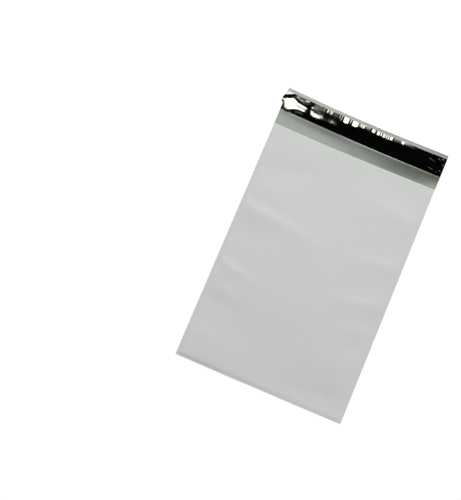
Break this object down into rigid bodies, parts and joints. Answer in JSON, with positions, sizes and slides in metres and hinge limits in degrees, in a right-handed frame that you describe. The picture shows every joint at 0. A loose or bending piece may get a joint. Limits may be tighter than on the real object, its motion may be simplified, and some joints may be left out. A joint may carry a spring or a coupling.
{
  "type": "poly mailer bag",
  "caption": "Flat film mailer: a side-welded pocket, open at the mouth, with a flap that carries an adhesive strip under a glossy peel-off liner.",
  "frame": {"origin": "centre of the back panel's underside, which is the face that the mailer lies on", "axes": "+Z out of the front panel, +Y towards the flap, +X across the width, to the right when the front panel is seen with its flap at the top"},
  "size_m": [0.19, 0.316, 0.0032],
  "materials": {
    "mailer_film": "satin white polyethylene film outside, silver-grey inside",
    "hot_melt_adhesive": "clear amber pressure-sensitive hot melt",
    "release_film": "mirror-glossy black siliconised film"
  },
  "bodies": {
    "root": {"bag_film": "mailer_film", "adhesive_strip": "hot_melt_adhesive", "release_liner": "release_film"}
  },
  "joints": []
}
